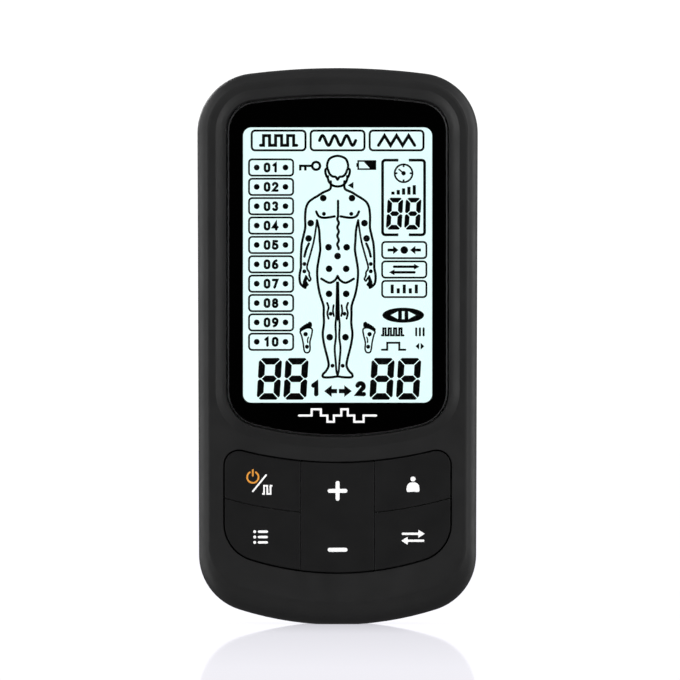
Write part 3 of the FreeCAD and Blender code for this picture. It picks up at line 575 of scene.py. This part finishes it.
def mode_boxes():
    """Three boxes along the top, each with its own pulse shape."""
    drawing = screen_drawing()
    low, high, half, pitch = 54.5, 58.75, 5.8, 12.72
    middle = (low + high) / 2
    for place in (-1, 0, 1):
        drawing.frame(place * pitch - half, place * pitch + half, low, high, 0.75, 0.46)
    line, rise, reach = 0.66, 1.05, 3.9
    wave = 2 * reach / 3
    square = square_wave(-pitch - reach, middle - rise, 2 * rise, wave, wave / 4, wave * 3 / 4, 3)
    drawing.stroke(square + [(-pitch + reach, middle - rise)], line)
    steps = 60
    shares = [step / steps for step in range(steps + 1)]
    sine = [(-reach + 2 * reach * share, middle + rise * math.sin(6 * math.pi * share)) for share in shares]
    drawing.stroke(sine, line)
    saw = []
    for tooth in range(3):
        x = pitch - reach + tooth * wave
        saw += [(x, middle - rise), (x + wave / 2, middle + rise)]
    drawing.stroke(saw + [(pitch + reach, middle - rise)], line)
    show(drawing, "display_mode_boxes")


def zone_boxes():
    """Ten numbered boxes down the left side, each number between a pair of pads."""
    drawing = screen_drawing()
    x0, x1, top, height, pitch = -19.1, -9.58, 52.55, 3.5, 4.176
    middle = (x0 + x1) / 2
    for row in range(10):
        high = top - row * pitch
        z = high - height / 2
        drawing.frame(x0, x1, high - height, high, BOX_CORNER, BOX_LINE)
        drawing.number("%02d" % (row + 1), middle, z, 2.15, PEN)
        for side in (-1, 1):
            drawing.disc(middle + side * 3.1, z, 0.62)
    show(drawing, "display_zone_boxes")


def program_block():
    """Open frame at the upper right with a clock, a row of pips and two digits."""
    drawing = screen_drawing()
    x0, x1, z0, z1, gap, corner, line = 9.7, 18.76, 36.28, 52.38, 1.12, 0.6, 0.6
    middle = (x0 + x1) / 2
    left = [(middle - gap, z1), (x0 + corner, z1)]
    left += arc_points(x0 + corner, z1 - corner, corner, 90, 180, 6)
    left += arc_points(x0 + corner, z0 + corner, corner, 180, 270, 6)
    left.append((middle - gap, z0))
    right = [(2 * middle - x, z) for x, z in left]
    drawing.stroke(left, line, round_ends=False)
    drawing.stroke(right, line, round_ends=False)
    clock_z, clock_r, clock_line = 49.55, 1.92, 0.4
    drawing.stroke(circle_points(middle, clock_z, clock_r), clock_line, closed=True)
    for quarter in range(4):
        angle = math.radians(90 * quarter)
        tick = [(middle + reach * math.cos(angle), clock_z + reach * math.sin(angle))
                for reach in (clock_r - 0.1, clock_r - 0.6)]
        drawing.stroke(tick, clock_line, round_ends=False)
    drawing.disc(middle, clock_z, 0.48)
    drawing.stroke([(middle, clock_z), (middle - 1.0, clock_z + 0.85)], 0.32)
    for pip in range(5):
        x = middle - 2.3 + pip * 1.15
        drawing.stroke([(x, 44.95), (x, 45.25 + 0.35 * (pip + 1))], 0.7, round_ends=False)
    for digit in range(2):
        seven_segment(drawing, 10.4 + digit * 3.92, 37.4, 3.38, 6.88, thick=1.03, gap=0.13)
    show(drawing, "display_program_block")


def technique_boxes():
    """Three boxes on the right: a pad squeezed by two arrows, rubbing strokes, tapping bars."""
    drawing = screen_drawing()
    x0, x1, top, height, pitch, line = 9.6, 19.15, 34.75, 3.5, 4.2, 0.54
    middle = (x0 + x1) / 2
    for row in range(3):
        drawing.frame(x0, x1, top - row * pitch - height, top - row * pitch, BOX_CORNER, BOX_LINE)
    z = top - height / 2
    drawing.disc(middle, z, 0.82)
    for side in (-1, 1):
        drawing.stroke([(middle + side * 3.6, z), (middle + side * 2.4, z)], 0.62, round_ends=False)
        drawing.polygon(pointer(middle + side * 1.25, middle + side * 2.4, z, 0.9))
    z -= pitch
    for side in (-1, 1):
        level = z + side * 0.6
        drawing.stroke([(middle - side * 2.2, level), (middle + side * 2.2, level)], line)
        drawing.polygon(pointer(middle + side * 3.3, middle + side * 2.1, level, 0.62))
    z -= pitch
    for bar in range(5):
        x = middle - 2.6 + bar * 1.3
        top_z = z + (0.95 if bar % 2 == 0 else 0.15)
        drawing.stroke([(x, z - 0.95), (x, top_z)], 0.68, round_ends=False)
    show(drawing, "display_technique_boxes")


def adjust_marks():
    """Black oval with open pointers and a bar, and two rows for pulse rate and width."""
    drawing = screen_drawing()
    x, z, half = 14.15, 18.95, 0.85
    pointers = [pointer(x + side * 2.7, x + side * 1.1, z, half) for side in (-1, 1)]
    bar = rectangle(x - 0.28, x + 0.28, z - half, z + half)
    drawing.cut_out(circle_points(x, z, 4.5, 64, 0.36), [*pointers, bar])
    start, rate, width, line, rise = 9.55, 14.6, 11.5, 0.44, 1.5
    drawing.stroke(square_wave(start, rate, rise, 1.15, 0.3, 0.8, 4) + [(14.2, rate)], line)
    drawing.stroke(square_wave(start, width, rise, 5.05, 1.15, 3.75, 1) + [(14.6, width)], line)
    mark_x, mark_pitch = 17.75, 0.8
    for place in (-1, 0, 1):
        x = mark_x + place * mark_pitch
        drawing.stroke([(x, rate), (x, rate + rise)], line)
    for side in (-1, 1):
        drawing.polygon(pointer(mark_x + side * 0.95, mark_x + side * 0.15, width + rise / 2, rise / 2))
    show(drawing, "display_adjust_marks")


def level_digits():
    """Large digits for the two channels, their numbers and the arrows between them."""
    drawing = screen_drawing()
    for start in (-17.48, -11.75, 6.82, 12.55):
        seven_segment(drawing, start, 0.72, 4.99, 9.01, thick=1.42, gap=0.14)
    for channel, x in (("1", -4.75), ("2", 4.95)):
        drawing.number(channel, x, 3.1, 3.3, 0.98)
    arrow_x, arrow_z = 0.08, 2.58
    upper = [(0.18, 0.47), (1.36, 0.47), (1.36, 1.28), (2.98, 0.0)]
    outline = upper + [(px, -pz) for px, pz in reversed(upper[:-1])]
    for side in (-1, 1):
        drawing.polygon([(arrow_x + side * px, arrow_z + pz) for px, pz in outline])
    show(drawing, "display_level_digits")


def status_icons():
    """Key lock, low battery and the small pointer beside the neck."""
    drawing = screen_drawing()
    key_z, tooth, line = 51.15, 1.0, 0.53
    drawing.stroke(circle_points(-4.63, key_z, 0.84), 0.55, closed=True)
    drawing.stroke([(-5.6, key_z), (-8.05, key_z), (-8.05, key_z - tooth)], line, round_ends=False)
    drawing.stroke([(-6.95, key_z), (-6.95, key_z - tooth)], line, round_ends=False)
    x0, x1, z0, z1 = 4.45, 8.15, 50.45, 52.2
    drawing.stroke(rectangle(x0, x1, z0, z1), 0.36, closed=True)
    drawing.polygon([(5.5, z1), (x1, z1), (x1, z0), (7.1, z0)])
    drawing.polygon(rectangle(x0 - 0.4, x0, z0 + 0.45, z1 - 0.45))
    drawing.polygon(pointer(2.2, 3.42, 46.95, 0.75))
    show(drawing, "display_status_icons")


def body_figure():
    """Plain standing figure seen from behind, in even lines, with the pad places as dots."""
    drawing = screen_drawing()

    def pair(points, width=FIGURE_LINE):
        curve = smooth(points)
        drawing.stroke(curve, width)
        drawing.stroke(mirror(curve), width)

    skull = [(-2.2, 50.6), (-2.24, 51.5), (-1.65, 52.75), (0.0, 53.3),
             (1.65, 52.75), (2.24, 51.5), (2.2, 50.6)]
    ear = [(2.2, 50.6), (2.6, 50.35), (2.6, 49.6), (2.28, 48.75), (2.05, 48.9)]
    jaw = [(2.15, 48.8), (1.85, 47.7), (1.0, 46.9), (0.0, 46.7)]
    hairline = [(-2.06, 50.3), (-1.7, 49.4), (-1.1, 48.88), (-0.4, 48.75), (0.0, 48.2),
                (0.4, 48.75), (1.1, 48.88), (1.7, 49.4), (2.06, 50.3)]
    drawing.stroke(smooth(skull), FIGURE_LINE)
    pair(ear)
    pair(jaw)
    drawing.stroke(smooth(hairline), FIGURE_LINE)

    neck_and_outer_arm = [(1.48, 47.8), (1.46, 46.6), (1.8, 46.0), (3.1, 45.42), (4.4, 44.6), (5.1, 44.2),
                          (6.2, 43.35), (6.8, 42.1), (7.0, 40.2), (6.98, 37.9), (7.3, 36.3), (7.75, 34.2),
                          (7.9, 31.6), (7.9, 29.2)]
    outer_hand = [(7.9, 29.2), (8.2, 27.4), (8.05, 25.9), (7.5, 25.2), (6.95, 24.85)]
    inner_arm_and_thumb = [(4.45, 39.4), (4.75, 37.2), (5.2, 34.6), (5.95, 31.8), (6.6, 29.3), (6.15, 28.2),
                           (6.1, 27.5), (5.8, 26.75), (6.08, 26.35), (6.4, 26.75), (6.85, 27.4)]
    pair(neck_and_outer_arm)
    pair(outer_hand)
    pair(inner_arm_and_thumb, 0.42)

    flank_and_outer_leg = [(4.45, 39.4), (4.0, 37.4), (3.85, 35.2), (3.75, 33.0), (4.1, 30.8), (4.4, 28.6),
                           (4.3, 26.2), (3.85, 23.6), (3.05, 21.0), (3.0, 19.2), (2.95, 17.2), (3.2, 14.8),
                           (2.85, 12.4), (2.1, 9.4), (1.95, 8.0), (2.5, 6.9), (3.15, 6.2), (3.05, 5.6),
                           (1.6, 5.55), (0.0, 5.75)]
    inner_leg = [(0.12, 26.0), (0.2, 22.0), (0.28, 18.8), (0.45, 16.8), (0.36, 14.3), (0.62, 11.8),
                 (0.4, 8.8), (0.26, 7.0), (0.05, 6.1)]
    pair(flank_and_outer_leg)
    pair(inner_leg, 0.47)
    drawing.polygon([(0.0, 26.1), (0.22, 22.2), (0.32, 19.0), (0.0, 17.4), (-0.32, 19.0), (-0.22, 22.2)])

    spine = [(0.1, 43.6), (0.1, 40.2)]
    spine += [(0.1 - 0.16 * math.sin(0.68 * step), 40.2 - 0.2 * step) for step in range(1, 36)]
    shoulder_blade = [(4.6, 41.3), (4.05, 40.3), (2.8, 39.95), (0.65, 40.25)]
    seat = [(0.0, 27.4), (0.55, 26.5), (1.8, 25.95), (3.5, 26.8)]
    forearm = [(6.2, 34.4), (6.75, 33.1), (7.15, 31.6)]
    outer_knee = [(2.25, 21.6), (1.95, 20.6), (2.2, 19.4), (1.95, 18.2)]
    inner_knee = [(0.85, 21.1), (1.0, 19.9), (0.8, 18.8)]
    drawing.stroke(spine, FIGURE_LINE)
    for fold in (shoulder_blade, seat, forearm):
        pair(fold)
    pair(outer_knee, 0.44)
    pair(inner_knee, 0.42)

    fingers = [(6.98, 27.5), (6.55, 26.9), (6.66, 26.3), (6.16, 25.5), (6.93, 24.75), (7.58, 25.3),
               (7.5, 26.2)]
    drawing.polygon(fingers)
    drawing.polygon(mirror(fingers))

    large_dot, small_dot = 0.72, 0.43
    for x, z in ((3.1, 44.2), (5.8, 38.8), (6.25, 35.5), (1.95, 33.6), (1.85, 28.95), (1.85, 23.55),
                 (1.7, 14.2)):
        for side in (-1, 1):
            drawing.disc(side * x, z, large_dot)
    drawing.disc(0.0, 31.7, large_dot)
    for x, z in ((2.95, 40.8), (7.16, 30.0), (7.16, 28.4), (1.5, 19.25), (1.1, 8.05)):
        for side in (-1, 1):
            drawing.disc(side * x, z, small_dot)
    show(drawing, "display_body_figure")


def foot_icons():
    """The two soles with five toes and two dots each."""
    drawing = screen_drawing()
    sole = smooth([(5.5, 15.9), (5.62, 14.6), (5.98, 13.1), (5.93, 11.7), (6.25, 10.95), (6.98, 10.95),
                   (7.27, 11.7), (7.45, 13.1), (7.8, 14.6), (8.06, 15.4), (7.3, 15.95), (6.3, 16.25)],
                  closed=True)
    arch = smooth([(6.3, 14.2), (6.48, 13.65), (6.44, 13.05)])
    toes = [(6.0, 16.85, 0.5), (6.62, 16.68, 0.38), (7.1, 16.42, 0.36), (7.54, 16.12, 0.35),
            (7.9, 15.82, 0.32)]
    for side in (-1, 1):
        drawing.stroke([(side * x, z) for x, z in sole], 0.36, closed=True)
        for x, z, radius in toes:
            drawing.disc(side * x, z, radius, squash=1.4)
        drawing.disc(side * 6.9, 14.85, 0.48)
        drawing.disc(side * 6.6, 12.15, 0.44)
        drawing.stroke([(side * x, z) for x, z in arch], 0.3)
    show(drawing, "display_foot_icons")


# ---------------------------------------------------------------- printed legends
INK_THICK = 0.03 * MM


def legend(drawing, name, body, ink=INK_WHITE_PAINTED_GLOW, slot="legend_white"):
    """Puts a key's print on its front face."""
    drawing.piece(name, KEY_FRONT_Y - INK_THICK, INK_THICK, ink, body, slot)


def power_legend():
    """Orange power symbol, a white slash and a small pulse mark for the mode."""
    ring = Drawing(-18.26, 31.75)
    line = 0.36
    ring.stroke(arc_points(0, 0, 1.22, 122, 418, 40), line)
    ring.stroke([(0, 0.3), (0, 1.55)], line)
    legend(ring, "legend_power", "power_mode_key_body", INK_ORANGE_PAINTED_GLOW, "legend_orange")
    mode = Drawing(-15.1, 28.95)
    mode.stroke([(-3.15, -0.25), (-0.3, 3.25)], 0.37)
    mode.stroke([(-1.15, -0.8), (-0.75, -0.8), (-0.75, 0.95), (-0.05, 0.95), (-0.05, -0.8), (0.65, -0.8),
                 (0.65, 0.95), (1.05, 0.95)], 0.38, round_ends=False)
    legend(mode, "legend_mode", "power_mode_key_body")


def level_legends():
    """Plus and minus with round ends."""
    reach, half = 1.71, 0.43
    inner = half * math.sqrt(2)
    cross = []
    for turn, end_x, end_z in ((0, reach, 0), (90, 0, reach), (180, -reach, 0), (270, 0, -reach)):
        corner = math.radians(turn + 45)
        cross += arc_points(end_x, end_z, half, turn - 90, turn + 90, 10)
        cross.append((inner * math.cos(corner), inner * math.sin(corner)))
    plus = Drawing(0.0, 28.8)
    plus.polygon(cross)
    legend(plus, "legend_plus", "level_rocker_body")
    minus = Drawing(0.0, 16.1)
    minus.stroke([(-reach, 0), (reach, 0)], 2 * half)
    legend(minus, "legend_minus", "level_rocker_body")


def body_legend():
    """A head and shoulders for the body-zone key."""
    drawing = Drawing(16.25, 30.15)
    shoulders = [(-1.3, -1.5), (-1.26, -0.2), (-0.7, 0.38), (0.0, 0.46), (0.7, 0.38), (1.26, -0.2),
                 (1.3, -1.5), (0.0, -1.52)]
    drawing.disc(0, 1.2, 0.54)
    drawing.polygon(smooth(shoulders, closed=True, steps=4))
    legend(drawing, "legend_body", "body_key_body")


def program_legend():
    """Three lines with pips for the program key."""
    drawing = Drawing(-16.6, 18.85)
    for row in (-1, 0, 1):
        z = row * 1.15
        drawing.disc(-1.25, z, 0.32)
        drawing.stroke([(-0.35, z), (1.35, z)], 0.52)
    legend(drawing, "legend_program", "program_key_body")


def channel_legend():
    """Two opposed arrows for the channel key."""
    drawing = Drawing(16.25, 18.8)
    for side in (-1, 1):
        z = side * 0.75
        drawing.stroke([(-side * 2.2, z), (side * 1.3, z)], 0.5)
        drawing.polygon(pointer(side * 2.55, side * 1.15, z, 0.85))
    legend(drawing, "legend_channel", "channel_key_body")


def window_mark():
    """A plain pulse line printed on the window under the display."""
    drawing = Drawing(0.0, WINDOW_LOW.z / MM + 4.3)
    rise, reach, film = 1.35, 8.3, 0.02 * MM
    line = [(-reach, 0)]
    for start, end, level in ((-5.6, -3.6, rise), (-2.2, -0.8, -rise), (0.8, 2.2, rise), (3.6, 5.6, -rise)):
        line += [(start, 0), (start, level), (end, level), (end, 0)]
    line.append((reach, 0))
    drawing.stroke(line, 0.45)
    drawing.piece("window_pulse_mark", WINDOW_LOW.y - film, film, INK_WHITE_PAINTED_GLOW, "housing", "legend_white")


# ---------------------------------------------------------------- camera, light, stage
def place_camera():
    """Long lens, level with the middle of the object, square to its face."""
    distance = 2.5
    field = 0.1465
    aim_x, aim_z = 0.52 * MM, 61.3 * MM
    camera_data = bpy.data.cameras.new("camera")
    camera_data.sensor_width = 36.0
    camera_data.lens = camera_data.sensor_width * distance / field
    camera_data.clip_start = 0.05
    camera_data.clip_end = 20.0
    camera = bpy.data.objects.new("camera", camera_data)
    camera.location = (aim_x, FRONT_Y - distance, aim_z)
    camera.rotation_euler = (math.pi / 2, 0, 0)
    bpy.context.scene.collection.objects.link(camera)
    bpy.context.scene.camera = camera


def area_light(name, place, target, width, height, power):
    """A soft rectangular light aimed at a point."""
    data = bpy.data.lights.new(name, "AREA")
    data.shape = "RECTANGLE"
    data.size = width
    data.size_y = height
    data.energy = power
    light = bpy.data.objects.new(name, data)
    light.location = place
    aim = Vector(target) - Vector(place)
    light.rotation_euler = aim.to_track_quat("-Z", "Y").to_euler()
    light.visible_camera = False
    bpy.context.scene.collection.objects.link(light)


def light_room():
    """Soft boxes at both sides, in front and behind, and weak ones above, below and low on the left."""
    middle = (0, 0, 0.06)
    for side, front_power, flank_power in ((-1, 7.2, 4.2), (1, 10.4, 4.4)):
        area_light("front_box", (side * 0.9, -0.9, 0.42), middle, 0.3, 0.9, front_power)
        area_light("side_box", (side * 0.9, 0.25, 0.25), middle, 0.5, 1.1, flank_power)
    area_light("low_box", (0, -0.9, -0.8), middle, 0.9, 0.25, 0.9)
    area_light("low_left_box", (-0.9, -0.2, -0.3), middle, 0.4, 0.5, 2.0)
    area_light("top_box", (0, -0.25, 0.95), middle, 0.8, 0.5, 0.6)
    area_light("back_box", (-0.5, 1.2, 0.45), middle, 0.6, 0.4, 5.0)


def light_world():
    """White to the camera's eye; for all other rays dark on the camera's side and grey behind."""
    world = bpy.data.worlds.new("studio")
    bpy.context.scene.world = world
    world.use_nodes = True
    tree = world.node_tree
    tree.nodes.clear()
    output = tree.nodes.new("ShaderNodeOutputWorld")
    seen = tree.nodes.new("ShaderNodeBackground")
    seen.inputs["Color"].default_value = (1, 1, 1, 1)
    seen.inputs["Strength"].default_value = 1.0
    fill = tree.nodes.new("ShaderNodeBackground")
    direction = tree.nodes.new("ShaderNodeTexCoord").outputs["Generated"]
    depth = spread(tree, coordinate(tree, direction, "Y"), 0.0, 1.0, -1.0, 0.0)
    tone = ramp(tree, depth, [(0.0, (0.01, 0.01, 0.01)), (0.12, (0.03, 0.03, 0.03)),
                              (1.0, (0.25, 0.25, 0.255))])
    tree.links.new(tone, fill.inputs["Color"])
    to_camera = tree.nodes.new("ShaderNodeLightPath").outputs["Is Camera Ray"]
    mixed = mix_shaders(tree, to_camera, fill.outputs["Background"], seen.outputs["Background"])
    tree.links.new(mixed, output.inputs["Surface"])


def flat_panel(name, corners):
    """A one-face panel for the stage."""
    data = bpy.data.meshes.new(name)
    data.from_pydata(corners, [], [tuple(range(len(corners)))])
    panel = bpy.data.objects.new(name, data)
    bpy.context.scene.collection.objects.link(panel)
    return panel


def fade(tree, near, far, at_near, at_far):
    """A value that changes with the distance from the object's foot."""
    distance = tree.nodes.new("ShaderNodeVectorMath")
    distance.operation = "LENGTH"
    tree.links.new(object_space(tree), distance.inputs[0])
    return spread(tree, distance.outputs["Value"], at_near, at_far, near, far)


def floor_material():
    """White floor that takes soft shadows near the object, and a mirror image that fades."""
    material, tree, surface = empty_material("floor_white")
    glow = emission(tree, (1.0, 0.99, 1.07), 0.86)
    white = emission(tree, (1.0, 0.99, 1.05), 1.02)
    diffuse = tree.nodes.new("ShaderNodeBsdfDiffuse")
    diffuse.inputs["Color"].default_value = (0.2, 0.2, 0.2, 1)
    lit = tree.nodes.new("ShaderNodeAddShader")
    tree.links.new(glow, lit.inputs[0])
    tree.links.new(diffuse.outputs["BSDF"], lit.inputs[1])
    gloss = tree.nodes.new("ShaderNodeBsdfGlossy")
    gloss.inputs["Color"].default_value = (0.98, 0.98, 1.0, 1)
    gloss.inputs["Roughness"].default_value = 0.03
    ground = mix_shaders(tree, fade(tree, 0.02, 0.5, 0.0, 1.0), lit.outputs["Shader"], white)
    grazing = tree.nodes.new("ShaderNodeFresnel")
    grazing.inputs["IOR"].default_value = 1.5
    share = grazing.outputs["Fac"]
    for fading in (fade(tree, 0.0, 0.09, 1.0, 0.69), fade(tree, 0.0, 0.34, 0.46, 0.24),
                   fade(tree, 0.42, 0.7, 1.0, 0.0)):
        share = calculate(tree, "MULTIPLY", share, fading)
    tree.links.new(mix_shaders(tree, share, ground, gloss.outputs["BSDF"]), surface)
    return material


def set_stage():
    """A pale floor, and far behind it a white panel for it to reflect."""
    back, front, side = 4.0, -3.4, 3.0
    floor = flat_panel("floor", [(-side, front, 0), (side, front, 0), (side, back, 0), (-side, back, 0)])
    floor.data.materials.append(floor_material())
    floor.visible_diffuse = False
    floor.visible_glossy = False
    floor.visible_shadow = False
    reach, far, top = 1.2, 3.9, 1.2
    backdrop = flat_panel("backdrop", [(-reach, far, 0), (reach, far, 0), (reach, far, top),
                                       (-reach, far, top)])
    white, tree, surface = empty_material("backdrop_white")
    tree.links.new(emission(tree, (1, 1, 1), 1.1), surface)
    backdrop.data.materials.append(white)


# ---------------------------------------------------------------- scene
bpy.context.scene.view_settings.view_transform = "Standard"
place_camera()
light_room()
light_world()
set_stage()
dress_cad_nodes()
for draw in (mode_boxes, zone_boxes, program_block, technique_boxes, adjust_marks, level_digits,
             status_icons, body_figure, foot_icons, power_legend, level_legends, body_legend,
             program_legend, channel_legend, window_mark):
    draw()
